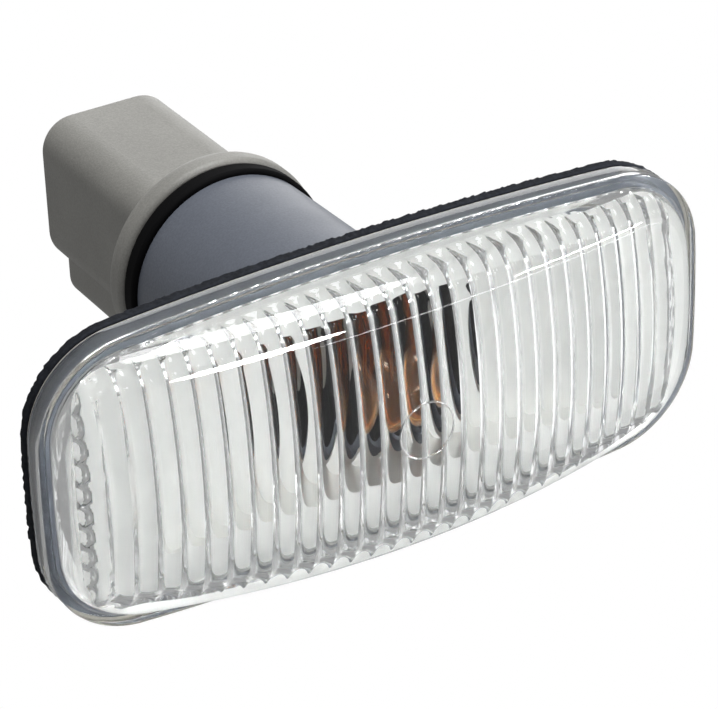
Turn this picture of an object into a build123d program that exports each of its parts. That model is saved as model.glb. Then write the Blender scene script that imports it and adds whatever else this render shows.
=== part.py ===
from build123d import *
import os
from math import asin, ceil, degrees, floor, sqrt

# Side repeater lamp. X runs along the lens, Y points into the car body, Z is up.
# The origin is on the tube axis, in the plane of the body panel that the foam gasket seals against.

# Lens outline: a rectangle with round corners and slightly bowed edges
lens_width = 84.0
lens_height = 37.8
corner_radius = 11.4
edge_bow = 1.9
end_bow = 0.8

# Lens depths and walls
gasket_thickness = 1.5
rim_depth = 3.0
flange_plate = 1.1
skirt_wall = 1.0
dome_inset = 1.5
dome_rise = 8.6
dome_draft = 4.0
dome_wall = 2.0
end_wall = 3.2
front_wall = 2.2
front_radius_x = 140.0
front_radius_z = 62.0
shoulder_radius = 4.5
inner_corner_radius = 3.3

# Optics moulded into the inside of the lens
flute_pitch = 2.54
flute_depth = 0.55
end_flute_pitch = 2.54
end_flute_depth = 0.4

# Bare ring moulded on the middle of the lens
ring_radius = 3.4
ring_line = 0.3
ring_height = 0.12

# Housing: plate inside the lens skirt, box through the panel, tube behind it
fit_gap = 0.15
box_end_margin = 10.0
box_side_margin = 5.9
box_corner = 5.0
box_depth = 7.5
box_wall = 1.6
tube_radius = 12.5
tube_taper = 0.4
tube_wall = 1.6
tube_end = 29.4
tube_lip = 2.2
lip_step = 1.0
panel_thickness = 1.0
hook_reach = 3.0
hook_height = 9.0
hook_thickness = 2.0
latch_height = 8.0
latch_thickness = 1.3
latch_slot = 1.8
latch_reach = 2.2

# Reflector: metallised trough with a round hole for the bulb
reflector_wall = 1.0
reflector_flange = 0.5
reflector_depth = 5.3
reflector_gap = 0.2

# Foam gasket
gasket_overhang = 0.1
gasket_gap = 0.8

# Bulb holder: neck, bayonet barrel, collar and connector shroud
barrel_gap = 0.3
lug_count = 3
lug_arc = 24.0
lug_thickness = 1.7
lug_gap = 0.15
twist_angle = 45.0
neck_radius = 7.4
neck_front = 13.0
neck_rear = 24.0
seal_thickness = 2.4
seal_gap = 0.1
seal_overhang = 0.6
seal_round = 0.5
collar_overhang = 1.0
collar_depth = 3.6
collar_front_round = 0.8
collar_rear_round = 1.6
block_width = 17.4
block_top = 9.6
block_bottom = 9.5
block_corner = 4.2
block_rear = 60.7
block_edge_round = 0.8
lock_width = 16.0
lock_bottom = 13.2
lock_corner = 3.0
lock_setback = 3.4
shroud_wall = 1.7
socket_depth = 14.0
latch_channel_width = 8.0
latch_channel_depth = 12.0
latch_channel_floor = 1.6

# Wedge bulb
glass_radius = 5.0
glass_wall = 0.7
bulb_tip = -6.5
bulb_length = 26.8
wedge_width = 9.5
wedge_thickness = 2.1
wedge_length = 8.0
wedge_overlap = 2.5
shoulder_height = 0.5
wedge_gap = 0.2
lead_radius = 0.22
lead_spacing = 2.6
lead_bend = 0.33
filament_radius = 0.3
filament_plane = 2.0
filament_rise = 0.9

# Contacts: stamped strips from the bulb leads to the connector pins
contact_thickness = 0.64
contact_width = 2.8
contact_gap = 0.05
contact_front_gap = 1.0
pin_pitch = 5.8
pin_length = 9.0
jog_start = 24.0
jog_length = 2.5

# Sizes and levels along Y that several pieces share
box_length = lens_width - 2 * box_end_margin
box_height = lens_height - 2 * box_side_margin
latch_tip = box_length / 2 + latch_slot + latch_thickness + latch_reach
rim_rear = -gasket_thickness
rim_front = rim_rear - rim_depth
recess_front = rim_front + flange_plate
plate_front = recess_front + reflector_flange
dome_apex = rim_front - dome_rise
cavity_apex = dome_apex + front_wall
box_floor = box_depth - box_wall
collar_front = tube_end + seal_thickness
collar_rear = collar_front + collar_depth
socket_floor = block_rear - socket_depth
bulb_end = bulb_tip + bulb_length
lip_front = tube_end - tube_lip
bore_radius = tube_radius - tube_wall
lip_radius = bore_radius - lip_step
barrel_radius = lip_radius - barrel_gap
lug_radius = bore_radius - barrel_gap
dish_floor = recess_front + reflector_depth
reflector_back = dish_floor + reflector_wall
contact_x = wedge_thickness / 2 + 2 * lead_radius + contact_gap + contact_thickness / 2
pocket_half_x = contact_x + contact_thickness / 2 + contact_gap
pocket_floor = bulb_end + 2 * lead_radius + wedge_gap
envelope_end = bulb_end - wedge_length
embed = 0.5


def across(y):
    """Plane at depth y whose sketches lie in X and Z and extrude towards the front."""
    return Plane(origin=(0, y, 0), x_dir=(1, 0, 0), z_dir=(0, -1, 0))


def slab(sketch, rear, front):
    """Solid of a sketch between two depths."""
    return extrude(across(rear) * sketch, amount=rear - front)


def turned(points):
    """Solid of revolution about the tube axis from radius and depth pairs."""
    return revolve(make_face(Polyline(*points, close=True)), axis=Axis.Y)


def ring_sector(inner, outer, rear, front, arc, middle_angle):
    """Piece of a ring about the tube axis, its middle at an angle from the X axis."""
    profile = Polyline((inner, front), (outer, front), (outer, rear), (inner, rear), close=True)
    sector = revolve(make_face(profile), axis=Axis.Y, revolution_arc=arc)
    return Rot(0, middle_angle - arc / 2, 0) * sector


def bowed_outline(inset):
    """Lens outline drawn in by an inset, with bowed edges and round corners."""
    half_width = lens_width / 2 - inset
    half_height = lens_height / 2 - inset
    right = half_width - end_bow
    top = half_height - edge_bow
    edges = [
        ThreePointArc((-right, top), (0, half_height), (right, top)),
        ThreePointArc((right, top), (half_width, 0), (right, -top)),
        ThreePointArc((right, -top), (0, -half_height), (-right, -top)),
        ThreePointArc((-right, -top), (-half_width, 0), (-right, top)),
    ]
    face = make_face(edges)
    return fillet(face.vertices(), corner_radius - inset)


def scallops(points, bulge):
    """Chain of arcs through points, each arc bulging by a vector at its middle."""
    arcs = []
    for start, end in zip(points, points[1:]):
        middle = ((start[0] + end[0]) / 2 + bulge[0], (start[1] + end[1]) / 2 + bulge[1])
        arcs.append(ThreePointArc(start, middle, end))
    return arcs


def front_line(x, apex, radius):
    """Depth of the front arc at a place along the lens."""
    return apex + radius - sqrt(radius**2 - x**2)


def front_barrel(apex, edges, ends):
    """Barrel whose side is the front of the lens, turned about an axis along X behind it."""
    axis_depth = apex + front_radius_z
    back = Polyline(ends[1], (ends[1][0], axis_depth), (ends[0][0], axis_depth), ends[0])
    face = make_face([*edges, *back.edges()])
    return revolve(face, axis=Axis((0, axis_depth, 0), (1, 0, 0)))


def smooth_front():
    """Barrel of the smooth outer front."""
    reach = lens_width / 2
    ends = [(side * reach, front_line(reach, dome_apex, front_radius_x)) for side in (-1, 1)]
    return front_barrel(dome_apex, [ThreePointArc(ends[0], (0, dome_apex), ends[1])], ends)


def fluted_front():
    """Barrel of the fluted inner front: upright half-round flutes that follow the dome."""
    count = ceil(lens_width / 2 / flute_pitch)
    radius = front_radius_x - front_wall
    cusp_x = [k * flute_pitch for k in range(-count, count + 1)]
    cusps = [(x, front_line(x, cavity_apex, radius)) for x in cusp_x]
    return front_barrel(cavity_apex, scallops(cusps, (0, flute_depth)), [cusps[0], cusps[-1]])


def fluted_pocket():
    """Outline of the inside of the dome, with flutes along the long walls and the end walls."""
    half_width = lens_width / 2 - dome_inset - end_wall
    half_height = lens_height / 2 - dome_inset - dome_wall
    long_count = floor((half_width - inner_corner_radius) / flute_pitch)
    end_count = floor((half_height - edge_bow - inner_corner_radius) / end_flute_pitch)
    long_x = [k * flute_pitch for k in range(-long_count, long_count + 1)]
    end_z = [k * end_flute_pitch for k in range(-end_count, end_count + 1)]
    top = [(x, half_height - edge_bow * (x / half_width) ** 2) for x in long_x]
    right = [(half_width - end_bow * (z / half_height) ** 2, z) for z in reversed(end_z)]
    bottom = [(x, -z) for x, z in reversed(top)]
    left = [(-x, -z) for x, z in right]
    diagonal = sqrt(0.5)
    corners = []
    for (px, pz), (qx, qz), upright in (
        (top[-1], right[0], False),
        (right[-1], bottom[0], True),
        (bottom[-1], left[0], False),
        (left[-1], top[0], True),
    ):
        cx, cz = (qx, pz) if upright else (px, qz)
        middle = (cx + diagonal * (px + qx - 2 * cx), cz + diagonal * (pz + qz - 2 * cz))
        corners.append(ThreePointArc((px, pz), middle, (qx, qz)))
    edges = [
        *scallops(top, (0, -flute_depth)), corners[0],
        *scallops(right, (-end_flute_depth, 0)), corners[1],
        *scallops(bottom, (0, flute_depth)), corners[2],
        *scallops(left, (end_flute_depth, 0)), corners[3],
    ]
    return make_face(edges)


def make_lens():
    """Clear moulding: skirt, flange, domed front with flutes inside and a bare ring at its middle."""
    dome = extrude(across(rim_front) * bowed_outline(dome_inset), amount=2 * dome_rise, taper=dome_draft)
    dome = dome & smooth_front()
    front_face = dome.faces().sort_by(Axis.Y)[0]
    dome = fillet(front_face.edges(), shoulder_radius)
    body = slab(bowed_outline(0), rim_rear, rim_front) + dome
    cavity = slab(fluted_pocket(), rim_rear, dome_apex) & fluted_front()
    recess = slab(bowed_outline(skirt_wall), rim_rear, recess_front)
    mark = Circle(ring_radius + ring_line / 2) - Circle(ring_radius - ring_line / 2)
    ring = slab(mark, dome_apex + front_wall / 2, dome_apex - ring_height)
    return body - cavity - recess + ring


def make_gasket():
    """Foam ring between the lamp and the body panel."""
    cut_length = 2 * (latch_tip + gasket_gap)
    cut_height = box_height + 2 * gasket_gap
    cut_out = RectangleRounded(cut_length, cut_height, box_corner + gasket_gap)
    return slab(bowed_outline(-gasket_overhang) - cut_out, 0, rim_rear)


def make_hook():
    """Fixed hook on the left end of the box, which goes behind the panel first."""
    root = -box_length / 2 + embed
    tip = -box_length / 2 - hook_reach
    front = panel_thickness + fit_gap
    rear = front + hook_thickness
    profile = Polyline(
        (root, front),
        (tip, front),
        (tip, (front + rear) / 2),
        ((tip + root) / 2, rear),
        (root, rear),
        close=True,
    )
    return extrude(make_face(profile), amount=hook_height / 2, both=True)


def make_latch():
    """Springy tongue on the right end of the box, with a ramped tooth that snaps behind the panel."""
    root = box_length / 2 - embed
    arm_in = box_length / 2 + latch_slot
    arm_out = arm_in + latch_thickness
    front = panel_thickness + fit_gap
    tooth_rear = front + 2 * latch_reach
    profile = Polyline(
        (root, box_depth),
        (arm_out, box_depth),
        (arm_out, tooth_rear),
        (latch_tip, front),
        (arm_in, front),
        (arm_in, box_floor),
        (root, box_floor),
        close=True,
    )
    return extrude(make_face(profile), amount=latch_height / 2, both=True)


def make_housing():
    """Grey moulding: plate in the lens skirt, box through the panel, tube with a bayonet lip."""
    plate = slab(bowed_outline(skirt_wall + fit_gap), rim_rear, plate_front)
    box = slab(RectangleRounded(box_length, box_height, box_corner), box_depth, plate_front)
    tube_root = tube_radius + tube_taper
    tube = turned([(0, box_floor), (tube_root, box_floor), (tube_radius, tube_end), (0, tube_end)])
    inside = RectangleRounded(box_length - 2 * box_wall, box_height - 2 * box_wall, box_corner - box_wall)
    shell = plate + box + tube + make_hook() + make_latch()
    shell -= slab(inside, box_floor, plate_front)
    shell -= slab(Circle(bore_radius), lip_front, box_floor - embed)
    shell -= slab(Circle(lip_radius), tube_end, lip_front)
    notch_arc = lug_arc + 2 * degrees(asin(barrel_gap / lip_radius))
    for k in range(lug_count):
        middle = k * 360 / lug_count + twist_angle
        shell -= ring_sector(lip_radius - embed, bore_radius, tube_end, lip_front, notch_arc, middle)
    return shell


def make_reflector():
    """Metallised trough in the box, its flange held between plate and lens, open around the bulb."""
    length = box_length - 2 * (box_wall + reflector_gap)
    height = box_height - 2 * (box_wall + reflector_gap)
    corner = box_corner - box_wall - reflector_gap
    half = length / 2 - reflector_wall
    radius = (half**2 + reflector_depth**2) / (2 * reflector_depth)
    centre = dish_floor - radius
    flange = slab(bowed_outline(skirt_wall + fit_gap), plate_front, recess_front)
    trough = slab(RectangleRounded(length, height, corner), reflector_back, plate_front)
    trough &= Pos(0, centre, 0) * Cylinder(radius + reflector_wall, height)
    walls = 2 * reflector_wall
    dish = RectangleRounded(length - walls, height - walls, corner - reflector_wall)
    hollow = slab(dish, reflector_back, recess_front)
    hollow &= Pos(0, centre, 0) * Cylinder(radius, height)
    hole = slab(Circle(bore_radius), reflector_back + embed, recess_front)
    return flange + trough - hollow - hole


def contact_strip(side, gap):
    """Strip from a bulb lead to its connector pin, thickened all round by a gap."""
    path = Polyline(
        (side * contact_x, neck_front + contact_front_gap - gap),
        (side * contact_x, jog_start),
        (side * pin_pitch / 2, jog_start + jog_length),
        (side * pin_pitch / 2, socket_floor + pin_length + gap),
    )
    strip = trace(path, line_width=contact_thickness + 2 * gap)
    return extrude(strip, amount=contact_width / 2 + gap, both=True)


def make_holder():
    """Grey moulding: neck for the bulb, barrel with bayonet lugs, collar and connector shroud."""
    block_height = block_top + block_bottom
    block_middle = (block_top - block_bottom) / 2
    neck = slab(Circle(neck_radius), neck_rear, neck_front)
    barrel = slab(Circle(barrel_radius), collar_front, neck_rear)
    collar = slab(Circle(tube_radius + collar_overhang), collar_rear, collar_front)
    collar = fillet(collar.edges().filter_by(GeomType.CIRCLE).sort_by(Axis.Y)[0], collar_front_round)
    collar = fillet(collar.edges().filter_by(GeomType.CIRCLE).sort_by(Axis.Y)[-1], collar_rear_round)
    block_face = Pos(0, block_middle) * RectangleRounded(block_width, block_height, block_corner)
    block = slab(block_face, block_rear, collar_front + embed)
    block = fillet(block.faces().sort_by(Axis.Y)[-1].edges(), block_edge_round)
    lock_middle = (block_middle - lock_bottom) / 2
    lock_height = 2 * (lock_bottom + lock_middle)
    lock_face = Pos(0, lock_middle) * RectangleRounded(lock_width, lock_height, lock_corner)
    lock = slab(lock_face, block_rear - lock_setback, collar_rear - collar_rear_round)
    lock = fillet(lock.faces().sort_by(Axis.Y)[-1].edges(), block_edge_round)
    holder = neck + barrel + collar + block + lock
    lug_rear = lip_front - lug_gap
    lug_front = lug_rear - lug_thickness
    for k in range(lug_count):
        middle = k * 360 / lug_count
        holder += ring_sector(barrel_radius - embed, lug_radius, lug_rear, lug_front, lug_arc, middle)
    walls = 2 * shroud_wall
    socket = RectangleRounded(block_width - walls, block_height - walls, block_corner - shroud_wall)
    holder -= slab(Pos(0, block_middle) * socket, block_rear, socket_floor)
    channel_low = latch_channel_floor - lock_bottom
    channel_height = shroud_wall + lock_bottom - block_bottom - latch_channel_floor + embed
    channel = Pos(0, channel_low + channel_height / 2) * Rectangle(latch_channel_width, channel_height)
    holder -= slab(channel, block_rear, block_rear - latch_channel_depth)
    pocket = Rectangle(2 * pocket_half_x, wedge_width + 2 * wedge_gap)
    holder -= slab(pocket, pocket_floor, neck_front)
    for side in (-1, 1):
        holder -= contact_strip(side, contact_gap)
    return holder


def make_seal():
    """Rubber ring squeezed between the tube end and the collar."""
    outer = tube_radius + seal_overhang
    ring = slab(Circle(outer) - Circle(lip_radius), collar_front, tube_end + seal_gap)
    return fillet(ring.edges().filter_by(GeomType.CIRCLE).sort_by(SortBy.RADIUS)[-2:], seal_round)


def bulb_profile(wall):
    """Half section of the bulb envelope drawn in by a wall: round tip, straight side, round shoulder."""
    radius = glass_radius - wall
    tip = bulb_tip + wall
    side_start = bulb_tip + glass_radius
    end = envelope_end - wall
    shoulder = end - shoulder_height * radius
    diagonal = sqrt(0.5) * radius
    tip_arc = ThreePointArc((0, tip), (diagonal, side_start - diagonal), (radius, side_start))
    side = Line((radius, side_start), (radius, shoulder))
    end_arc = EllipticalCenterArc((0, shoulder), radius, end - shoulder, start_angle=0, arc_size=90)
    axis = Line((0, end), (0, tip))
    return make_face([tip_arc, side, end_arc, axis])


def make_bulb_glass():
    """Amber glass envelope, hollow, pinched to a flat wedge at its foot."""
    wedge = slab(Rectangle(wedge_thickness, wedge_width), bulb_end, envelope_end - wedge_overlap)
    glass = revolve(bulb_profile(0), axis=Axis.Y) + wedge
    for side in (-1, 1):
        channel = Pos(0, side * lead_spacing / 2) * Circle(lead_radius + contact_gap)
        glass -= slab(channel, bulb_end, envelope_end - glass_radius)
    return glass - revolve(bulb_profile(glass_wall), axis=Axis.Y)


def make_lead(side):
    """Lead wire from the filament through the wedge, folded back against one flat of it."""
    fold_x = side * (wedge_thickness / 2 + lead_radius)
    fold_y = bulb_end + lead_radius
    fold_end = bulb_end - wedge_length / 2
    corners = [(0, filament_plane), (0, fold_y), (fold_x, fold_y), (fold_x, fold_end)]
    bends = FilletPolyline(*corners, radius=lead_bend)
    path = Plane.XY.offset(side * lead_spacing / 2) * bends
    start = Plane(origin=path @ 0, z_dir=path % 0)
    return sweep(start * Circle(lead_radius), path=path)


def make_filament():
    """Arched tungsten filament between the two leads."""
    reach = lead_spacing / 2 - lead_radius
    ends = [(0, filament_plane, side * reach) for side in (-1, 1)]
    path = ThreePointArc(ends[0], (0, filament_plane - filament_rise, 0), ends[1])
    start = Plane(origin=path @ 0, z_dir=path % 0)
    return sweep(start * Circle(filament_radius), path=path)


pieces = {
    "lens": make_lens(),
    "panel_gasket": make_gasket(),
    "housing": make_housing(),
    "reflector": make_reflector(),
    "bulb_holder": make_holder(),
    "holder_seal": make_seal(),
    "contact_left": contact_strip(-1, 0),
    "contact_right": contact_strip(1, 0),
    "bulb_glass": make_bulb_glass(),
    "bulb_filament": make_filament(),
    "bulb_lead_left": make_lead(-1),
    "bulb_lead_right": make_lead(1),
}

os.makedirs("parts", exist_ok=True)
for name, solid in pieces.items():
    export_step(solid, f"parts/{name}.step")
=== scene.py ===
"""Side repeater lamp: finishes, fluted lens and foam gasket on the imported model, with a plain studio."""

from __future__ import annotations

import logging
import math
from dataclasses import dataclass, replace
from enum import Enum
from typing import Any

import bmesh
import bpy
import numpy as np
from mathutils import Matrix, Vector, noise

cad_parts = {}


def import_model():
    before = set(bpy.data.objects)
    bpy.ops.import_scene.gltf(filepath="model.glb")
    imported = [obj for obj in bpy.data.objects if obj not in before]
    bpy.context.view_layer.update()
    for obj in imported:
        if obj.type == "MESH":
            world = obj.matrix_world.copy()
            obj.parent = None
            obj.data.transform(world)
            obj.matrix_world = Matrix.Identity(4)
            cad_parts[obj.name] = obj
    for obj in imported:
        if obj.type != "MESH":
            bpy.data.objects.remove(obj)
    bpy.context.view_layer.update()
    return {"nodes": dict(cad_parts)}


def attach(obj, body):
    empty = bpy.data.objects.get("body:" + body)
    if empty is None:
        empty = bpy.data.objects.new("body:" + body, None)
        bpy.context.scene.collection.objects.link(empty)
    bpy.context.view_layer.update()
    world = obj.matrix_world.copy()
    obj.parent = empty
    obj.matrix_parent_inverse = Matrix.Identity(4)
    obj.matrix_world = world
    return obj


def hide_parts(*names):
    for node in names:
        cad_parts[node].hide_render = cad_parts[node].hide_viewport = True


LOG = logging.getLogger("side_repeater")
MM = 0.001
FLUTE_SHARE = "flute_share"
# A face lies flat to the front or the rear when its normal's Y is past this
FLAT_FACING = 0.97
# The colour sockets of a mix node, which share their names with its other sockets
COLOUR_A = 6
COLOUR_B = 7
COLOUR_RESULT = 2
# The finer layers of the two patterns that every finish has
CLOUD_DETAIL = 5.0
CLOUD_BREAKUP = 0.6
GRAIN_DETAIL = 3.0
GRAIN_BREAKUP = 0.55
# The stretch of the grain's values that spreads over the whole speckle
SPECK_LOW = 0.35
SPECK_HIGH = 0.65


class Body(Enum):
    """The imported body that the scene's own pieces ride on."""

    LAMP = "lamp_body"


class Zone(Enum):
    """The stretch of a rounded outline that a point lies on."""

    LONG_EDGE = 0
    CORNER = 1
    END_EDGE = 2


def linear(code: str) -> tuple[float, float, float, float]:
    """Turns an sRGB hex colour to linear.

    Args:
        code: Six hex digits, such as "8E8C86".

    Returns:
        Linear red, green, blue and an alpha of one.
    """
    parts = [int(code[k : k + 2], 16) / 255 for k in (0, 2, 4)]
    curve = [c / 12.92 if c <= 0.04045 else ((c + 0.055) / 1.055) ** 2.4 for c in parts]
    return (curve[0], curve[1], curve[2], 1.0)


def add_node(
    tree: bpy.types.NodeTree, kind: str, links: dict[Any, Any] | None = None, **settings: Any
) -> bpy.types.Node:
    """Adds a node with its settings and its inputs.

    Args:
        tree: The shader or geometry tree.
        kind: The node's type name.
        links: A socket to link, or a plain value, for each input by name or number.
        settings: The node's own properties.

    Returns:
        The new node.
    """
    node = tree.nodes.new(kind)
    for name, value in settings.items():
        setattr(node, name, value)
    for name, value in (links or {}).items():
        if isinstance(value, bpy.types.NodeSocket):
            tree.links.new(value, node.inputs[name])
        else:
            node.inputs[name].default_value = value
    return node


def maths(tree: bpy.types.NodeTree, operation: str, *values: Any) -> bpy.types.NodeSocket:
    """Adds a maths node.

    Args:
        tree: The shader or geometry tree.
        operation: The sum that it does.
        values: Sockets or plain numbers, in order.

    Returns:
        The result's socket.
    """
    return add_node(tree, "ShaderNodeMath", dict(enumerate(values)), operation=operation).outputs[0]


def mixed(tree: bpy.types.NodeTree, share: Any, first: Any, second: Any) -> bpy.types.NodeSocket:
    """Adds a node that mixes two colours.

    Args:
        tree: The material's tree.
        share: The socket that says how much of the second colour shows.
        first: A colour or its socket.
        second: A colour or its socket.

    Returns:
        The mixed colour's socket.
    """
    links = {"Factor": share, COLOUR_A: first, COLOUR_B: second}
    return add_node(tree, "ShaderNodeMix", links, data_type="RGBA").outputs[COLOUR_RESULT]


def placed(name: str, data: Any) -> bpy.types.Object:
    """Makes an object and puts it in the scene.

    Args:
        name: The object's name.
        data: Its mesh, camera or light.

    Returns:
        The object, at the origin.
    """
    thing = bpy.data.objects.new(name, data)
    bpy.context.scene.collection.objects.link(thing)
    return thing


@dataclass(frozen=True)
class Finish:
    """A material and how its surface was made."""

    name: str
    colour: str
    shade: str
    roughness: float
    rough_spread: float
    grain_mm: float
    grain_depth_mm: float
    cloud_mm: float
    specular: float = 0.5

    @staticmethod
    def pattern(
        tree: bpy.types.NodeTree, spot: bpy.types.NodeSocket, size_mm: float, detail: float, breakup: float
    ) -> bpy.types.NodeSocket:
        """Adds a noise pattern.

        Args:
            tree: The material's tree.
            spot: The place on the piece, in metres.
            size_mm: About how often the pattern repeats.
            detail: How many finer layers it has.
            breakup: How strong the finer layers are.

        Returns:
            The pattern's value.
        """
        scale = 1.0 / (size_mm * MM)
        links = {"Vector": spot, "Scale": scale, "Detail": detail, "Roughness": breakup}
        return add_node(tree, "ShaderNodeTexNoise", links).outputs["Fac"]

    def surface(self, tree: bpy.types.NodeTree, shader: bpy.types.Node, spot: bpy.types.NodeSocket) -> None:
        """Adds the clouded and speckled colour, the uneven gloss and the grain.

        Args:
            tree: The material's tree.
            shader: Its shader node.
            spot: The place on the piece, in metres.
        """
        cloud = self.pattern(tree, spot, self.cloud_mm, CLOUD_DETAIL, CLOUD_BREAKUP)
        grain = self.pattern(tree, spot, self.grain_mm, GRAIN_DETAIL, GRAIN_BREAKUP)
        stretch = {"Value": grain, "From Min": SPECK_LOW, "From Max": SPECK_HIGH}
        speck = add_node(tree, "ShaderNodeMapRange", stretch)
        both = maths(tree, "ADD", speck.outputs["Result"], cloud)
        tint = mixed(tree, maths(tree, "MULTIPLY", both, 0.5), linear(self.colour), linear(self.shade))
        gloss = add_node(
            tree,
            "ShaderNodeMapRange",
            {
                "Value": cloud,
                "To Min": self.roughness - self.rough_spread,
                "To Max": self.roughness + self.rough_spread,
            },
        )
        relief = {"Height": grain, "Distance": self.grain_depth_mm * MM, "Strength": 1.0}
        bump = add_node(tree, "ShaderNodeBump", relief)
        tree.links.new(tint, shader.inputs["Base Color"])
        tree.links.new(gloss.outputs["Result"], shader.inputs["Roughness"])
        tree.links.new(bump.outputs["Normal"], shader.inputs["Normal"])
        shader.inputs["Specular IOR Level"].default_value = self.specular

    def character(self, tree: bpy.types.NodeTree, shader: bpy.types.Node, spot: bpy.types.NodeSocket) -> None:
        """Adds what sets the kind of material apart: nothing for an opaque plastic or rubber.

        Args:
            tree: The material's tree.
            shader: Its shader node.
            spot: The place on the piece, in metres.
        """

    def build(self) -> bpy.types.Material:
        """Makes the material.

        Returns:
            The material, with one shader.
        """
        material = bpy.data.materials.new(self.name)
        material.use_nodes = True
        tree = material.node_tree
        tree.nodes.clear()
        shader = add_node(tree, "ShaderNodeBsdfPrincipled")
        add_node(tree, "ShaderNodeOutputMaterial", {"Surface": shader.outputs["BSDF"]})
        spot = add_node(tree, "ShaderNodeTexCoord").outputs["Object"]
        self.surface(tree, shader, spot)
        self.character(tree, shader, spot)
        return material


@dataclass(frozen=True)
class MetalFinish(Finish):
    """A bare or vapour-deposited metal."""

    metallic: float = 1.0

    def character(self, tree: bpy.types.NodeTree, shader: bpy.types.Node, spot: bpy.types.NodeSocket) -> None:
        """Makes the shader a metal.

        Args:
            tree: The material's tree.
            shader: Its shader node.
            spot: The place on the piece, in metres.
        """
        shader.inputs["Metallic"].default_value = self.metallic


@dataclass(frozen=True)
class MaskedMetalFinish(MetalFinish):
    """A vapour-deposited metal whose rim was masked: outside an outline, in millimetres, it stays bare."""

    bare: str = "787E88"
    half_width: float = 39.6
    half_height: float = 16.5
    edge_bow: float = 1.9
    corner_radius: float = 9.0

    def character(self, tree: bpy.types.NodeTree, shader: bpy.types.Node, spot: bpy.types.NodeSocket) -> None:
        """Makes the shader a metal and gives it the colour of the bare band.

        Args:
            tree: The material's tree.
            shader: Its shader node.
            spot: The place on the piece, in metres.
        """
        super().character(tree, shader, spot)
        place = add_node(tree, "ShaderNodeSeparateXYZ", {0: spot}).outputs
        wide = maths(tree, "ABSOLUTE", place["X"])
        ratio = maths(tree, "DIVIDE", wide, self.half_width * MM)
        square = maths(tree, "MULTIPLY", ratio, ratio)
        level = maths(tree, "ABSOLUTE", place["Z"])
        high = maths(tree, "MULTIPLY_ADD", square, self.edge_bow * MM, level)
        past = []
        for along, half in ((wide, self.half_width), (high, self.half_height)):
            over = maths(tree, "SUBTRACT", along, (half - self.corner_radius) * MM)
            past.append(maths(tree, "MAXIMUM", over, 0.0))
        rise = maths(tree, "MULTIPLY", past[1], past[1])
        reach = maths(tree, "SQRT", maths(tree, "MULTIPLY_ADD", past[0], past[0], rise))
        band = maths(tree, "GREATER_THAN", reach, self.corner_radius * MM)
        coat = shader.inputs["Base Color"].links[0].from_socket
        tree.links.new(mixed(tree, band, coat, linear(self.bare)), shader.inputs["Base Color"])


@dataclass(frozen=True)
class ClearFinish(Finish):
    """A clear glass or plastic that light goes through."""

    ior: float = 1.49
    clarity: float = 1.0

    def character(self, tree: bpy.types.NodeTree, shader: bpy.types.Node, spot: bpy.types.NodeSocket) -> None:
        """Lets light through the shader.

        Args:
            tree: The material's tree.
            shader: Its shader node.
            spot: The place on the piece, in metres.
        """
        shader.inputs["Transmission Weight"].default_value = self.clarity
        shader.inputs["IOR"].default_value = self.ior


# Injection-moulded acrylic: colourless and glossy, with a slight haze from wiping
ACRYLIC = ClearFinish(
    "acrylic_moulded", colour="FCFDFD", shade="F6F8F8", roughness=0.03, rough_spread=0.015,
    grain_mm=3.0, grain_depth_mm=0.002, cloud_mm=9.0,
)
# Acrylic where it meets the foam: the texture of the mould's split line makes it pale and cloudy
ACRYLIC_EDGE = Finish(
    "acrylic_frosted", colour="BDBAB0", shade="A9A79E", roughness=0.6, rough_spread=0.05,
    grain_mm=0.3, grain_depth_mm=0.01, cloud_mm=2.0,
)
# Vacuum-metallised ABS: a soft silver sheen over faint waviness, and a bare grey band along the masked rim
METALLISED = MaskedMetalFinish(
    "abs_vacuum_metallised", colour="F4F4F1", shade="EEEEEB", roughness=0.3, rough_spread=0.04,
    grain_mm=2.5, grain_depth_mm=0.03, cloud_mm=8.0, metallic=0.35,
)
# Moulded ABS: cool blue-grey satin with a fine speckle
HOUSING_ABS = Finish(
    "abs_moulded", colour="6B707A", shade="585D67", roughness=0.42, rough_spread=0.06,
    grain_mm=0.25, grain_depth_mm=0.02, cloud_mm=7.0,
)
# Moulded ABS inside the tube, coloured near black as painted shade: the dark of the hole round the bulb is
# shade, painted into the colour
BORE_PAINTED_SHADE = Finish(
    "abs_moulded_painted_shade", colour="0B0C10", shade="08090C", roughness=0.5, rough_spread=0.05,
    grain_mm=0.25, grain_depth_mm=0.006, cloud_mm=7.0, specular=0.2,
)
# Moulded polyamide: warm grey, matt, with a soft spark-eroded grain
HOLDER_PA = Finish(
    "polyamide_moulded", colour="94938E", shade="7E7D79", roughness=0.5, rough_spread=0.06,
    grain_mm=0.25, grain_depth_mm=0.03, cloud_mm=6.0,
)
# Moulded rubber: black and dull
SEAL_RUBBER = Finish(
    "rubber_moulded", colour="050506", shade="08080A", roughness=0.75, rough_spread=0.06,
    grain_mm=0.3, grain_depth_mm=0.01, cloud_mm=3.0, specular=0.1,
)
# Die-cut closed-cell foam: near black, open cells along the cut edge
GASKET_FOAM = Finish(
    "foam_die_cut", colour="0E1015", shade="20232A", roughness=0.85, rough_spread=0.05,
    grain_mm=0.45, grain_depth_mm=0.1, cloud_mm=0.9, specular=0.2,
)
# Adhesive film on the foam: smooth slate grey, seen through the clear rim
ADHESIVE_FILM = Finish(
    "film_adhesive", colour="5C636E", shade="545A65", roughness=0.5, rough_spread=0.05,
    grain_mm=0.4, grain_depth_mm=0.004, cloud_mm=3.0,
)
# Tinned brass strip: pale metal with rolling haze
TINNED_BRASS = MetalFinish(
    "brass_tinned", colour="C9C4B4", shade="B5AF9E", roughness=0.3, rough_spread=0.06,
    grain_mm=0.2, grain_depth_mm=0.002, cloud_mm=2.0,
)
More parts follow.
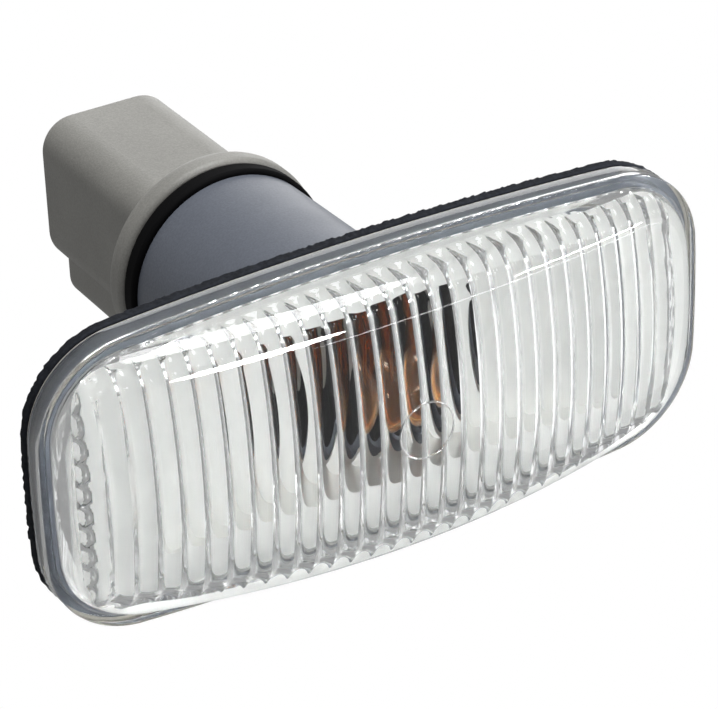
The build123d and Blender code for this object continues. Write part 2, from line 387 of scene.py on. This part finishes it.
# Drawn wire: dull nickel grey
LEAD_WIRE = MetalFinish(
    "wire_drawn", colour="A9A49C", shade="8F8A84", roughness=0.35, rough_spread=0.05,
    grain_mm=0.1, grain_depth_mm=0.002, cloud_mm=1.0,
)
# Amber lacquered glass: orange at the rims, brown where two walls are seen through
AMBER_GLASS = ClearFinish(
    "glass_amber", colour="EBA24C", shade="DE9440", roughness=0.03, rough_spread=0.01,
    grain_mm=2.0, grain_depth_mm=0.004, cloud_mm=4.0, ior=1.5, clarity=0.96,
)


@dataclass(frozen=True)
class Outline:
    """A rectangle with bowed edges and round corners, in millimetres."""

    half_width: float
    half_height: float
    edge_bow: float
    end_bow: float
    corner_radius: float
    long_reach: float
    end_reach: float

    def at(self, rail: Rail, inset: np.ndarray) -> tuple[np.ndarray, np.ndarray]:
        """Places the points of a rail on the outline drawn in by an inset.

        Args:
            rail: The points' zones, values and signs.
            inset: One inset for each point.

        Returns:
            X and Z of the points.
        """
        wide = self.half_width - inset
        high = self.half_height - inset
        radius = self.corner_radius - inset
        right = wide - self.end_bow
        top = high - self.edge_bow
        long_radius = (right**2 + self.edge_bow**2) / (2 * self.edge_bow)
        end_radius = (top**2 + self.end_bow**2) / (2 * self.end_bow)
        long_z = high - long_radius
        end_x = wide - end_radius
        span = np.hypot(end_x, long_z)
        near = long_radius - radius
        far = end_radius - radius
        along = (near**2 - far**2 + span**2) / (2 * span)
        off = np.sqrt(np.maximum(near**2 - along**2, 0.0))
        unit_x = end_x / span
        unit_z = -long_z / span
        corner_x = along * unit_x + off * unit_z
        corner_z = long_z + along * unit_z - off * unit_x
        steep = np.arctan2(corner_z - long_z, corner_x)
        shallow = np.arctan2(corner_z, corner_x - end_x)
        turn = steep + (shallow - steep) * rail.value
        along_x = rail.value * self.long_reach
        along_z = rail.value * self.end_reach
        round_x = corner_x + radius * np.cos(turn)
        round_z = corner_z + radius * np.sin(turn)
        arc_x = end_x + np.sqrt(end_radius**2 - along_z**2)
        arc_z = long_z + np.sqrt(long_radius**2 - along_x**2)
        zones = [rail.zone == Zone.LONG_EDGE.value, rail.zone == Zone.CORNER.value]
        x = np.select(zones, [along_x, round_x], arc_x)
        z = np.select(zones, [arc_z, round_z], along_z)
        return x * rail.sign_x, z * rail.sign_z


@dataclass(frozen=True)
class Rail:
    """Where the points of every ring of a moulding lie, so that rings join point to point."""

    zone: np.ndarray
    value: np.ndarray
    sign_x: np.ndarray
    sign_z: np.ndarray
    columns: int
    rows: int

    @classmethod
    def build(cls, half_columns: int, half_rows: int, corner_steps: int) -> Rail:
        """Makes the rail: even columns along the long edges, even rows along the ends.

        Args:
            half_columns: Columns from the middle to the end of a long edge.
            half_rows: Rows from the middle to the end of an end edge.
            corner_steps: Steps in each half of a corner.

        Returns:
            The rail, from the upper left corner along the top and round.
        """
        turn = np.linspace(0.0, 0.5, corner_steps + 1)[1:]
        edge = np.linspace(0.0, 1.0, half_columns + 1)
        end = np.linspace(0.0, 1.0, half_rows + 1)
        corner, long_edge, end_edge = Zone.CORNER.value, Zone.LONG_EDGE.value, Zone.END_EDGE.value
        top = [(corner, t, -1, 1) for t in turn[::-1]]
        top += [(long_edge, x, -1, 1) for x in edge[:0:-1]]
        top += [(long_edge, x, 1, 1) for x in edge]
        top += [(corner, t, 1, 1) for t in turn]
        right = [(corner, 1 - t, 1, 1) for t in turn[-2::-1]]
        right += [(end_edge, z, 1, 1) for z in end[:0:-1]]
        right += [(end_edge, z, 1, -1) for z in end]
        right += [(corner, 1 - t, 1, -1) for t in turn[:-1]]
        bottom = [(kind, value, -sx, -sz) for kind, value, sx, sz in top]
        left = [(kind, value, -sx, -sz) for kind, value, sx, sz in right]
        points = np.array([*top, *right, *bottom, *left], float)
        return cls(points[:, 0], points[:, 1], points[:, 2], points[:, 3], len(top), len(right) + 2)


@dataclass(frozen=True)
class FrontSurface:
    """The front of the lens, in millimetres: an arc along X turned about an axis along X behind it."""

    apex: float
    radius_x: float
    radius_z: float
    end_start: float = 0.88

    def depth(self, x: np.ndarray, z: np.ndarray) -> np.ndarray:
        """Gives the depth of the front.

        Args:
            x: X of some places.
            z: Z of the same places.

        Returns:
            Y of the front there.
        """
        line = self.apex + self.radius_x - np.sqrt(self.radius_x**2 - x**2)
        axis = self.apex + self.radius_z
        return axis - np.sqrt((axis - line) ** 2 - z**2)


class MeshRings:
    """Collects rings of points and joins them with faces."""

    def __init__(self, rail: Rail) -> None:
        """Starts an empty mesh.

        Args:
            rail: The rail that its rings follow.
        """
        self.rail = rail
        self.points: list[np.ndarray] = []
        self.flutes: list[np.ndarray] = []
        self.faces: list[tuple[int, ...]] = []
        self.count = 0

    def add(self, points: np.ndarray, flute: np.ndarray) -> int:
        """Adds points and how far flutes rise at them.

        Args:
            points: X, Y and Z rows in millimetres.
            flute: A share from none to full for each point.

        Returns:
            The first point's number.
        """
        first = self.count
        self.points.append(points)
        self.flutes.append(flute)
        self.count += len(points)
        return first

    def ring(self, outline: Outline, inset: Any, depth: Any, flute: float = 0.0) -> int:
        """Adds a ring of an outline.

        Args:
            outline: The outline that it follows.
            inset: Inset, for all or for each point.
            depth: Y, for all or for each point.
            flute: How far flutes rise on it.

        Returns:
            The ring's first point.
        """
        size = len(self.rail.value)
        x, z = outline.at(self.rail, np.broadcast_to(np.asarray(inset, float), (size,)))
        y = np.broadcast_to(np.asarray(depth, float), (size,))
        return self.add(np.stack([x, y, z], 1), np.full(size, flute))

    def strip(self, first: int, second: int) -> None:
        """Joins two rings with a band of quads.

        Args:
            first: One ring's first point.
            second: The other ring's first point.
        """
        size = len(self.rail.value)
        for k in range(size):
            n = (k + 1) % size
            self.faces.append((first + k, first + n, second + n, second + k))

    def cap(self, ring: int, front: FrontSurface, flute: float) -> None:
        """Closes a ring with a grid of columns and rows on the lens front.

        Args:
            ring: The ring's first point.
            front: The surface that the grid lies on.
            flute: How far flutes rise on it.
        """
        columns, rows = self.rail.columns, self.rail.rows
        size = len(self.rail.value)
        points = np.concatenate(self.points)[ring : ring + size]
        top = points[:columns]
        right = points[columns - 1 : columns - 1 + rows]
        corner = top[-1]
        lift = right[:, 2] / corner[2]
        push = right[:, 0] - corner[0]
        place = np.linspace(-1.0, 1.0, columns)
        ease = np.clip((np.abs(place) - front.end_start) / (1 - front.end_start), 0.0, 1.0)
        spread = np.sign(place) * ease**2 * (3 - 2 * ease)
        number = np.zeros((columns, rows), int)
        number[:, 0] = ring + np.arange(columns)
        number[-1, :] = ring + columns - 1 + np.arange(rows)
        number[:, -1] = ring + (columns + rows - 2 + np.arange(columns))[::-1]
        number[0, :] = ring + (np.append(2 * columns + rows - 3 + np.arange(rows - 1), 0))[::-1]
        x = top[1:-1, 0][:, None] + spread[1:-1][:, None] * push[1:-1][None, :]
        z = top[1:-1, 2][:, None] * lift[1:-1][None, :]
        y = front.depth(x, z)
        grid = np.stack([x, y, z], 2).reshape(-1, 3)
        first = self.add(grid, np.full(len(grid), flute))
        number[1:-1, 1:-1] = first + np.arange(len(grid)).reshape(columns - 2, rows - 2)
        for i in range(columns - 1):
            for j in range(rows - 1):
                corners = ((i, j), (i + 1, j), (i + 1, j + 1), (i, j + 1))
                self.faces.append(tuple(int(number[a, b]) for a, b in corners))

    def mesh(self, name: str) -> bpy.types.Mesh:
        """Makes the closed mesh in metres, with its flute shares kept as an attribute.

        Args:
            name: The mesh's name.

        Returns:
            The mesh, with its faces pointing outwards.
        """
        mesh = bpy.data.meshes.new(name)
        mesh.from_pydata((np.concatenate(self.points) * MM).tolist(), [], self.faces)
        share = mesh.attributes.new(FLUTE_SHARE, "FLOAT", "POINT")
        share.data.foreach_set("value", np.concatenate(self.flutes).astype(np.float32))
        work = bmesh.new()
        work.from_mesh(mesh)
        bmesh.ops.recalc_face_normals(work, faces=work.faces)
        work.to_mesh(mesh)
        work.free()
        mesh.polygons.foreach_set("use_smooth", np.ones(len(mesh.polygons), bool))
        return mesh


def grown(
    name: str, mesh: bpy.types.Mesh, tree: bpy.types.NodeTree, values: dict[str, Any]
) -> bpy.types.Object:
    """Runs a geometry tree on a mesh and keeps the plain result.

    Args:
        name: The finished piece's name.
        mesh: The mesh that the tree starts from.
        tree: The geometry tree.
        values: The tree's inputs by name.

    Returns:
        An object at the origin with a plain mesh and no modifier.
    """
    piece = placed(name, mesh)
    modifier = piece.modifiers.new("grow", "NODES")
    modifier.node_group = tree
    for item in tree.interface.items_tree:
        if item.in_out == "INPUT" and item.name in values:
            modifier[item.identifier] = values[item.name]
    bpy.context.view_layer.update()
    plain = bpy.data.meshes.new_from_object(piece.evaluated_get(bpy.context.evaluated_depsgraph_get()))
    piece.modifiers.clear()
    piece.data = plain
    return piece


@dataclass
class Lens:
    """The clear moulding, with flutes over its inside, sizes in millimetres."""

    half_width: float = 42.0
    half_height: float = 18.9
    corner_radius: float = 11.4
    inner_corner_radius: float = 3.3
    edge_bow: float = 1.9
    end_bow: float = 0.8
    rim_rear: float = -1.55
    rim_front: float = -4.5
    recess_front: float = -3.46
    skirt_wall: float = 1.0
    dome_inset: float = 1.5
    dome_apex: float = -13.1
    dome_draft: float = 4.0
    dome_wall: float = 2.0
    end_wall: float = 3.2
    front_wall: float = 2.2
    radius_x: float = 140.0
    radius_z: float = 62.0
    shoulder: float = 4.5
    inner_shoulder: float = 2.2
    edge_round: float = 0.35
    front_round: float = 0.15
    sharp_angle: float = 40.0
    flute_pitch: float = 2.54
    flute_depth: float = 0.55
    end_pitch: float = 2.54
    end_depth: float = 0.4
    flute_start: float = 1.6
    flute_run: float = 1.8
    scallop_start: float = 0.8
    scallop_run: float = 0.5
    # How far sideways a face looks where upright flutes fade out, and where level ones fade in
    upright_fade: tuple[float, float] = (0.35, 0.75)
    level_fade: tuple[float, float] = (0.75, 0.97)
    steps_per_flute: int = 12
    steps_per_scallop: int = 7
    corner_steps: int = 12
    wall_levels: int = 8
    shoulder_levels: int = 10
    settle_passes: int = 12
    slope_step: float = 0.1
    ring_radius: float = 3.4
    ring_line: float = 0.24
    ring_height: float = 0.08
    ring_turns: int = 144
    ring_steps: int = 7

    def outline(self, end_inset: float, edge_inset: float, corner: float) -> Outline:
        """Gives the lens outline drawn in.

        Args:
            end_inset: How far its ends are drawn in.
            edge_inset: How far its long edges are drawn in.
            corner: Its corner radius.

        Returns:
            The outline, with straight reaches that stop short of its corners.
        """
        wide = self.half_width - end_inset
        high = self.half_height - edge_inset
        long_reach = wide - self.end_bow - corner
        end_reach = high - self.edge_bow - corner
        return Outline(wide, high, self.edge_bow, self.end_bow, corner, long_reach, end_reach)

    def shoulder_rings(
        self,
        rings: MeshRings,
        outline: Outline,
        front: FrontSurface,
        foot: float,
        draft: float,
        radius: float,
        inside: bool,
    ) -> int:
        """Adds a wall, its round shoulder and the front.

        Args:
            rings: The mesh being made.
            outline: The outline at the wall's foot.
            front: The front that the wall runs into.
            foot: Depth of the wall's foot.
            draft: Lean of the wall in degrees.
            radius: Radius of the shoulder.
            inside: Whether flutes rise on it.

        Returns:
            The foot ring's first point.
        """
        lean = math.radians(draft)
        sine = math.sin(lean)
        cosine = math.cos(lean)
        size = len(rings.rail.value)
        wall = np.ones(size)
        slope = np.zeros(size)
        # The wall's length and the front's slope depend on each other, so they settle in a few passes
        for _ in range(self.settle_passes):
            inset = wall * sine + radius * cosine
            here = front.depth(*outline.at(rings.rail, inset))
            ahead = front.depth(*outline.at(rings.rail, inset + self.slope_step))
            slope = (ahead - here) / self.slope_step
            centre = here + radius * np.sqrt(1 + slope**2)
            wall = (foot + radius * sine - centre) / cosine
        at_end = rings.rail.zone == Zone.END_EDGE.value
        levels: list[int] = []
        for share in np.linspace(0.0, 1.0, self.wall_levels):
            run = wall * share
            height = run * cosine
            levels.append(rings.ring(outline, run * sine, foot - height))
            if inside:
                long_rise = (height - self.flute_start) / self.flute_run
                end_rise = (height - self.scallop_start) / self.scallop_run
                rise = np.clip(np.where(at_end, end_rise, long_rise), 0.0, 1.0)
                rings.flutes[-1] = np.sqrt(rise * (2 - rise))
        mid_inset = wall * sine + radius * cosine
        mid_depth = foot - wall * cosine + radius * sine
        begin = math.pi + lean
        finish = np.arctan2(-1.0, slope) + 2 * math.pi
        for share in np.linspace(0.0, 1.0, self.shoulder_levels)[1:]:
            turn = begin + (finish - begin) * share
            inset = mid_inset + radius * np.cos(turn)
            depth = mid_depth + radius * np.sin(turn)
            levels.append(rings.ring(outline, inset, depth, float(inside)))
        for low, high in zip(levels, levels[1:]):
            rings.strip(low, high)
        rings.cap(levels[-1], front, float(inside))
        return levels[0]

    def front(self) -> FrontSurface:
        """Gives the smooth outer front.

        Returns:
            The front's surface.
        """
        return FrontSurface(self.dome_apex, self.radius_x, self.radius_z)

    def ring_mark(self, finish: bpy.types.Material) -> bpy.types.Object:
        """Makes the bare ring that stands up from the middle of the front.

        Args:
            finish: The clear material.

        Returns:
            The ring's object, its foot sunk a little into the lens.
        """
        turns = self.ring_turns
        angle = np.linspace(0.0, 2 * math.pi, turns, endpoint=False)
        profile = [(u, self.ring_height * (1 - u * u)) for u in np.linspace(-1.0, 1.0, self.ring_steps)]
        profile += [(1.0, -self.ring_height), (-1.0, -self.ring_height)]
        rows = []
        for u, rise in profile:
            radius = self.ring_radius + u * self.ring_line / 2
            x = radius * np.cos(angle)
            z = radius * np.sin(angle)
            rows.append(np.stack([x, self.front().depth(x, z) - rise, z], 1))
        points = np.concatenate(rows) * MM
        faces = []
        for row in range(len(profile)):
            low = row * turns
            high = (row + 1) % len(profile) * turns
            for k in range(turns):
                n = (k + 1) % turns
                faces.append((low + k, low + n, high + n, high + k))
        mesh = bpy.data.meshes.new("lens_ring")
        mesh.from_pydata(points.tolist(), [], faces)
        mesh.polygons.foreach_set("use_smooth", np.ones(len(faces), bool))
        mesh.materials.append(finish)
        return placed("lens_ring", mesh)

    def smooth_shell(self) -> bpy.types.Mesh:
        """Makes the whole moulding without its flutes.

        Returns:
            The closed mesh, with how far flutes rise at each point.
        """
        outer = self.outline(0.0, 0.0, self.corner_radius)
        foot_outline = self.outline(self.dome_inset, self.dome_inset, self.corner_radius - self.dome_inset)
        pocket = self.outline(
            self.dome_inset + self.end_wall, self.dome_inset + self.dome_wall, self.inner_corner_radius
        )
        step = self.flute_pitch / self.steps_per_flute
        half_columns = int(pocket.long_reach / step)
        pocket = replace(pocket, long_reach=half_columns * step)
        half_rows = int(pocket.end_reach / self.end_pitch * self.steps_per_scallop)
        rings = MeshRings(Rail.build(half_columns, half_rows, self.corner_steps))
        back = FrontSurface(
            self.dome_apex + self.front_wall, self.radius_x - self.front_wall, self.radius_z - self.front_wall
        )
        last = self.shoulder_rings(rings, pocket, back, self.recess_front, 0.0, self.inner_shoulder, True)
        soft = self.edge_round * (1 - math.sqrt(0.5))
        crisp = self.front_round * (1 - math.sqrt(0.5))
        for inset, depth in (
            (self.skirt_wall, self.recess_front),
            (self.skirt_wall, self.rim_rear),
            (self.edge_round, self.rim_rear),
            (soft, self.rim_rear - soft),
            (0.0, self.rim_rear - self.edge_round),
            (0.0, self.rim_front + self.front_round),
            (crisp, self.rim_front + crisp),
            (self.front_round, self.rim_front),
        ):
            ring = rings.ring(outer, inset, depth)
            rings.strip(last, ring)
            last = ring
        dome = self.shoulder_rings(
            rings, foot_outline, self.front(), self.rim_front, self.dome_draft, self.shoulder, False
        )
        rings.strip(last, dome)
        return rings.mesh("lens_smooth")

    def flute_tree(self) -> bpy.types.NodeTree:
        """Makes the tree that raises upright flutes on the front and long walls, and level ones on the ends.

        Returns:
            The geometry tree.
        """
        tree = bpy.data.node_groups.new("lens_flutes", "GeometryNodeTree")
        face = tree.interface
        face.new_socket("Geometry", in_out="INPUT", socket_type="NodeSocketGeometry")
        for name in ("Pitch", "Height", "End Pitch", "End Height"):
            face.new_socket(name, in_out="INPUT", socket_type="NodeSocketFloat")
        face.new_socket("Material", in_out="INPUT", socket_type="NodeSocketMaterial")
        face.new_socket("Geometry", in_out="OUTPUT", socket_type="NodeSocketGeometry")
        given = add_node(tree, "NodeGroupInput").outputs
        normal = add_node(tree, "GeometryNodeInputNormal").outputs["Normal"]
        facing = add_node(tree, "ShaderNodeSeparateXYZ", {0: normal}).outputs
        spot = add_node(tree, "GeometryNodeInputPosition").outputs["Position"]
        place = add_node(tree, "ShaderNodeSeparateXYZ", {0: spot}).outputs
        share = add_node(tree, "GeometryNodeInputNamedAttribute", {"Name": FLUTE_SHARE}, data_type="FLOAT")
        sideways = maths(tree, "ABSOLUTE", facing["X"])
        rises = []
        for along, pitch, height, fade, before, after in (
            (place["X"], given["Pitch"], given["Height"], self.upright_fade, 1.0, 0.0),
            (place["Z"], given["End Pitch"], given["End Height"], self.level_fade, 0.0, 1.0),
        ):
            limits = {"From Min": fade[0], "From Max": fade[1], "To Min": before, "To Max": after}
            weight = add_node(
                tree, "ShaderNodeMapRange", {"Value": sideways, **limits}, interpolation_type="SMOOTHSTEP"
            )
            within = maths(tree, "FRACT", maths(tree, "DIVIDE", along, pitch))
            across = maths(tree, "MULTIPLY_ADD", within, 2.0, -1.0)
            arch = maths(tree, "SUBTRACT", 1.0, maths(tree, "MULTIPLY", across, across))
            tall = maths(tree, "MULTIPLY", arch, height)
            rises.append(maths(tree, "MULTIPLY", tall, weight.outputs["Result"]))
        shown = maths(tree, "MULTIPLY", maths(tree, "ADD", *rises), share.outputs["Attribute"])
        lift = add_node(tree, "ShaderNodeVectorMath", {0: normal, "Scale": shown}, operation="SCALE")
        move = {"Geometry": given["Geometry"], "Offset": lift.outputs[0]}
        moved = add_node(tree, "GeometryNodeSetPosition", move)
        real = add_node(tree, "GeometryNodeRealizeInstances", {"Geometry": moved.outputs[0]})
        dress_up = {"Geometry": real.outputs[0], "Material": given["Material"]}
        dressed = add_node(tree, "GeometryNodeSetMaterial", dress_up)
        add_node(tree, "NodeGroupOutput", {0: dressed.outputs[0]})
        return tree

    def build(self, finish: bpy.types.Material, edge: bpy.types.Material) -> list[bpy.types.Object]:
        """Makes the fluted lens and the bare ring on its front.

        Args:
            finish: The clear material.
            edge: The frosted material of the rear edge.

        Returns:
            The lens and the ring.
        """
        values = {
            "Pitch": self.flute_pitch * MM,
            "Height": self.flute_depth * MM,
            "End Pitch": self.end_pitch * MM,
            "End Height": self.end_depth * MM,
            "Material": finish,
        }
        lens = grown("lens_clear", self.smooth_shell(), self.flute_tree(), values)
        lens.data.set_sharp_from_angle(angle=math.radians(self.sharp_angle))
        lens.data.materials.append(edge)
        edge_start = (self.rim_rear - self.edge_round) * MM
        for face in lens.data.polygons:
            if face.center.y > edge_start and abs(face.normal.y) < FLAT_FACING:
                face.material_index = 1
        return [lens, self.ring_mark(finish)]


@dataclass
class Gasket:
    """The foam ring behind the rim, with the uneven cut edge of foam, sizes in millimetres."""

    half_width: float = 42.1
    half_height: float = 19.0
    corner_radius: float = 11.5
    edge_bow: float = 1.9
    end_bow: float = 0.8
    long_reach: float = 29.8
    end_reach: float = 5.6
    front: float = -1.5
    rear: float = 0.0
    hole_half_width: float = 38.1
    hole_half_height: float = 13.8
    hole_corner: float = 5.8
    hole_bow: float = 0.02
    hole_long_reach: float = 32.0
    hole_end_reach: float = 8.0
    edge_round: float = 0.25
    edge_levels: tuple[float, float] = (0.33, 0.67)
    half_columns: int = 120
    half_rows: int = 20
    corner_steps: int = 24
    ragged: float = 0.24
    ragged_mm: float = 0.5
    fine_share: float = 0.5
    fine_ratio: float = 2.3

    def tear(self, points: np.ndarray) -> None:
        """Draws the points of a ring in unevenly, as cut foam is.

        Args:
            points: X, Y and Z rows, which are changed.
        """
        for row in points:
            coarse = noise.noise(Vector(row) / self.ragged_mm)
            fine = noise.noise(Vector(row) * self.fine_ratio / self.ragged_mm)
            pull = self.ragged * min(max(0.5 + coarse + self.fine_share * fine, 0.0), 1.0)
            reach = math.hypot(row[0], row[2])
            row[0] -= pull * row[0] / reach
            row[2] -= pull * row[2] / reach

    def build(self, finish: bpy.types.Material, film: bpy.types.Material) -> bpy.types.Object:
        """Makes the gasket.

        Args:
            finish: The foam's material.
            film: The material of the adhesive film on its front.

        Returns:
            The gasket's object.
        """
        outer = Outline(
            self.half_width,
            self.half_height,
            self.edge_bow,
            self.end_bow,
            self.corner_radius,
            self.long_reach,
            self.end_reach,
        )
        hole = Outline(
            self.hole_half_width,
            self.hole_half_height,
            self.hole_bow,
            self.hole_bow,
            self.hole_corner,
            self.hole_long_reach,
            self.hole_end_reach,
        )
        rings = MeshRings(Rail.build(self.half_columns, self.half_rows, self.corner_steps))
        thickness = self.rear - self.front
        edge = [
            (self.edge_round, self.front),
            (0.0, self.front + self.edge_round),
            *((0.0, self.front + share * thickness) for share in self.edge_levels),
            (0.0, self.rear - self.edge_round),
            (self.edge_round, self.rear),
        ]
        firsts = [rings.ring(outer, inset, depth) for inset, depth in edge]
        for points in rings.points:
            self.tear(points)
        firsts += [rings.ring(hole, 0.0, depth) for depth in (self.rear, self.front)]
        for k, first in enumerate(firsts):
            rings.strip(first, firsts[(k + 1) % len(firsts)])
        mesh = rings.mesh("gasket_foam")
        mesh.materials.append(finish)
        mesh.materials.append(film)
        for face in mesh.polygons:
            if face.normal.y < -FLAT_FACING:
                face.material_index = 1
        return placed("gasket_foam", mesh)


@dataclass(frozen=True)
class SoftBox:
    """An oval soft light that looks at the lamp, lengths in metres and power in watts."""

    name: str
    place: tuple[float, float, float]
    width: float
    height: float
    power: float

    def build(self) -> None:
        """Adds the light."""
        data = bpy.data.lights.new(self.name, "AREA")
        data.shape = "ELLIPSE"
        data.size = self.width
        data.size_y = self.height
        data.energy = self.power
        light = placed(self.name, data)
        light.location = self.place
        light.rotation_euler = (-Vector(self.place)).to_track_quat("-Z", "Y").to_euler()


LIGHTS = (
    SoftBox("key_above", (0.2, 0.0, 0.9), width=0.6, height=0.5, power=8.0),
    SoftBox("front_box", (0.15, -1.0, 0.15), width=0.36, height=0.2, power=19.0),
    SoftBox("right_strip", (0.9, -0.8, 0.05), width=0.4, height=0.04, power=4.0),
    SoftBox("rear_fill", (0.5, 1.0, 0.1), width=0.8, height=0.8, power=3.0),
    SoftBox("right_card", (0.95, -0.55, -0.4), width=1.0, height=1.0, power=2.0),
    SoftBox("shoulder_strip", (0.62, -0.75, -0.1), width=0.9, height=0.025, power=0.6),
)


@dataclass(frozen=True)
class Studio:
    """Camera, pale floor and soft light."""

    focal_px: float = 3400.0
    image_px: float = 718.0
    sensor_mm: float = 36.0
    azimuth: float = -30.546
    elevation: float = 30.123
    roll: float = 2.0
    shift_mm: tuple[float, float, float] = (2.887, 4.628, 371.95)
    rim_front_mm: float = -4.5
    clip_near: float = 0.01
    clip_far: float = 20.0
    floor_drop: float = 0.16
    floor_reach: float = 60.0
    floor_glow: float = 1.0
    room_light: float = 0.33
    all_bounces: int = 40
    glossy_bounces: int = 24
    clear_bounces: int = 32

    def camera(self) -> None:
        """Makes the camera at the photograph's viewing angle."""
        a, e, r = (math.radians(v) for v in (self.azimuth, self.elevation, self.roll))
        ahead = Vector((-math.sin(a) * math.cos(e), math.cos(a) * math.cos(e), -math.sin(e)))
        level = Vector((math.cos(a), math.sin(a), 0.0))
        below = ahead.cross(level)
        right = math.cos(r) * level + math.sin(r) * below
        down = math.cos(r) * below - math.sin(r) * level
        away = self.shift_mm
        centre = -(right * away[0] + down * away[1] + ahead * away[2])
        centre.y += self.rim_front_mm
        data = bpy.data.cameras.new("camera")
        data.sensor_width = self.sensor_mm
        data.lens = self.focal_px * self.sensor_mm / self.image_px
        data.clip_start = self.clip_near
        data.clip_end = self.clip_far
        camera = placed("camera", data)
        turn = Matrix((right, -down, -ahead)).transposed().to_4x4()
        camera.matrix_world = Matrix.Translation(centre * MM) @ turn
        bpy.context.scene.camera = camera

    def floor(self) -> None:
        """Makes the plain pale floor, which lights nothing."""
        mesh = bpy.data.meshes.new("floor")
        reach, level = self.floor_reach, -self.floor_drop
        corners = [(x * reach, y * reach, level) for x, y in ((-1, -1), (1, -1), (1, 1), (-1, 1))]
        mesh.from_pydata(corners, [], [(0, 1, 2, 3)])
        material = bpy.data.materials.new("floor_matt_white")
        material.use_nodes = True
        shader = material.node_tree.nodes["Principled BSDF"]
        shader.inputs["Base Color"].default_value = linear("000000")
        shader.inputs["Specular IOR Level"].default_value = 0.0
        shader.inputs["Emission Color"].default_value = linear("FFFFFF")
        shader.inputs["Emission Strength"].default_value = self.floor_glow
        mesh.materials.append(material)
        floor = placed("floor", mesh)
        floor.visible_diffuse = False
        floor.visible_glossy = False
        floor.visible_transmission = False

    def room(self) -> bpy.types.World:
        """Makes the surroundings: as white as the floor to the camera, and dimmer as light.

        Returns:
            The world.
        """
        world = bpy.data.worlds.new("white_room")
        world.use_nodes = True
        tree = world.node_tree
        background = tree.nodes["Background"]
        background.inputs["Color"].default_value = linear("FFFFFF")
        seen = add_node(tree, "ShaderNodeLightPath").outputs["Is Camera Ray"]
        glow = {"Value": seen, "To Min": self.room_light, "To Max": self.floor_glow}
        strength = add_node(tree, "ShaderNodeMapRange", glow)
        tree.links.new(strength.outputs["Result"], background.inputs["Strength"])
        return world

    def build(self) -> None:
        """Makes the camera, the floor, the surroundings and the lights."""
        self.camera()
        self.floor()
        scene = bpy.context.scene
        scene.world = self.room()
        scene.view_settings.view_transform = "Standard"
        # Light crosses the walls and flutes of the lens many times
        scene.cycles.max_bounces = self.all_bounces
        scene.cycles.glossy_bounces = self.glossy_bounces
        scene.cycles.transmission_bounces = self.clear_bounces
        for light in LIGHTS:
            light.build()


@dataclass(frozen=True)
class Bore:
    """The inside of the housing's tube, coloured near black as painted shade, sizes in millimetres."""

    reach: float = 11.2
    rear: float = 29.3

    def line(self, housing: bpy.types.Object, finish: bpy.types.Material) -> None:
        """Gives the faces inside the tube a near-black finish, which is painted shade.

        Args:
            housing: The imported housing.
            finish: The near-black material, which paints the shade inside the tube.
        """
        housing.data.materials.append(finish)
        for face in housing.data.polygons:
            place = face.center / MM
            if math.hypot(place.x, place.z) < self.reach and place.y < self.rear:
                face.material_index = 1


def dress(node: bpy.types.Object, finish: bpy.types.Material) -> None:
    """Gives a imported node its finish.

    Args:
        node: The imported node.
        finish: Its material.
    """
    node.data.materials.clear()
    node.data.materials.append(finish)


def main() -> None:
    """Builds the pieces in order."""
    logging.basicConfig(level=logging.INFO, format="%(name)s: %(message)s")
    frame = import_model()
    Studio().build()
    brass = TINNED_BRASS.build()
    wire = LEAD_WIRE.build()
    finishes = {
        "housing": HOUSING_ABS.build(),
        "reflector": METALLISED.build(),
        "bulb_holder": HOLDER_PA.build(),
        "holder_seal": SEAL_RUBBER.build(),
        "bulb_glass": AMBER_GLASS.build(),
        "contact_left": brass,
        "contact_right": brass,
        "bulb_lead_left": wire,
        "bulb_lead_right": wire,
        "bulb_filament": wire,
    }
    for name, finish in finishes.items():
        dress(frame["nodes"][name], finish)
        LOG.info("%s is %s", name, finish.name)
    # The inside of the tube is coloured near black: painted shade
    Bore().line(frame["nodes"]["housing"], BORE_PAINTED_SHADE.build())
    for piece in Lens().build(ACRYLIC.build(), ACRYLIC_EDGE.build()):
        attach(piece, Body.LAMP.value)
        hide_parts("lens")
        LOG.info("%s has %d faces", piece.name, len(piece.data.polygons))
    gasket = Gasket().build(GASKET_FOAM.build(), ADHESIVE_FILM.build())
    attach(gasket, Body.LAMP.value)
    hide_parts("panel_gasket")
    LOG.info("%s has %d faces", gasket.name, len(gasket.data.polygons))


if __name__ == "__main__":
    main()
